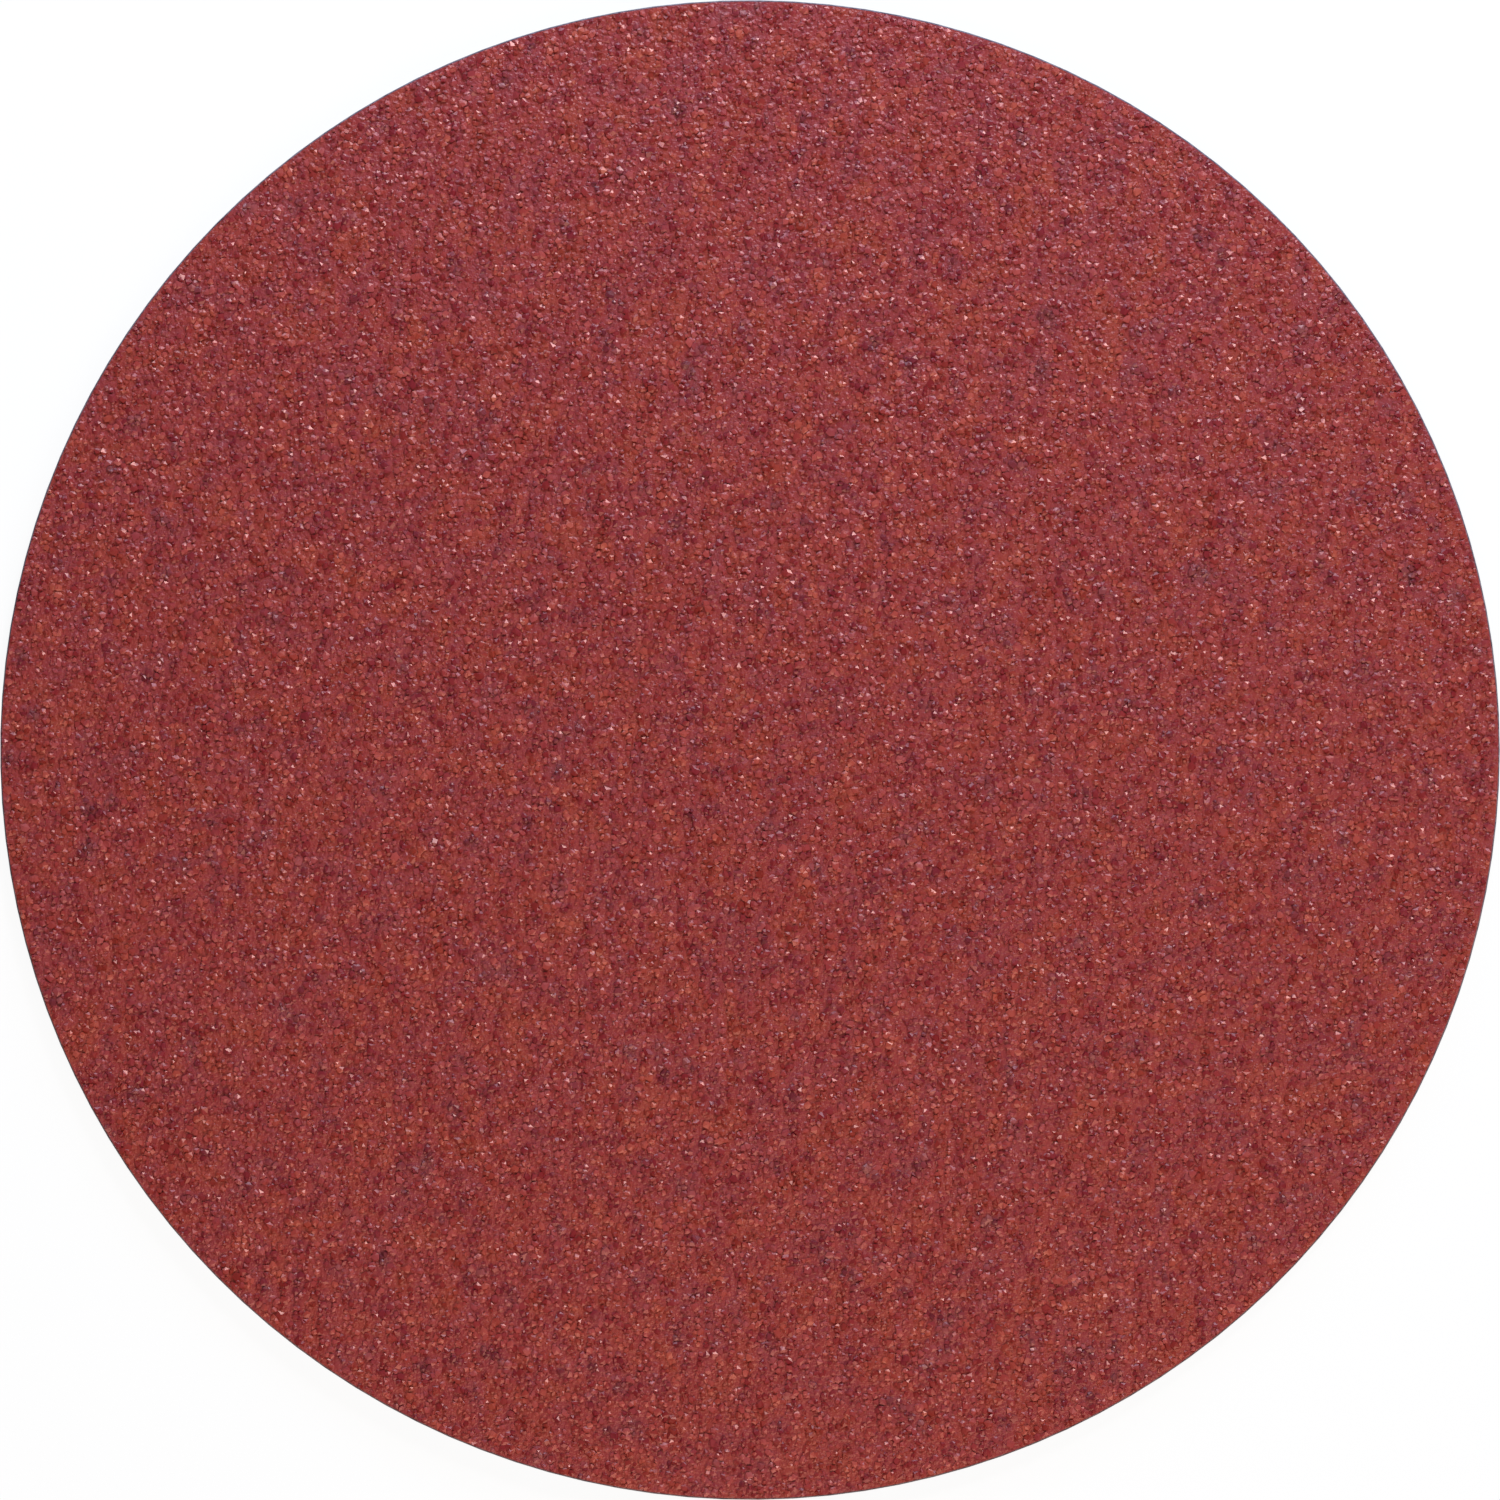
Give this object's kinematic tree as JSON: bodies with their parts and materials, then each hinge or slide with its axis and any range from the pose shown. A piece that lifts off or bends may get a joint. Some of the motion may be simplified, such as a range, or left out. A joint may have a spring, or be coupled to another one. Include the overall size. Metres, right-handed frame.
{
  "type": "hook and loop sanding disc",
  "caption": "Plain round sanding disc without dust holes: red-brown grain on heavy paper, with a loop fabric back that holds on the hook pad of a sander.",
  "frame": {"origin": "centre of the loop face, on the surface that the disc lies on", "axes": "+Z out of the grain face; the wales of the loop fabric run along Y"},
  "size_m": [0.125, 0.125, 0.0021],
  "materials": {
    "grain_coat": "aluminium oxide grain in red resin, rough with small glints",
    "paper": "matte, dark at the cut edge",
    "loop_knit": "brushed nylon loop knit, soft sheen"
  },
  "bodies": {
    "root": {"loop_fabric": "loop_knit", "paper_backing": "paper", "abrasive_coat": "grain_coat"}
  },
  "joints": []
}
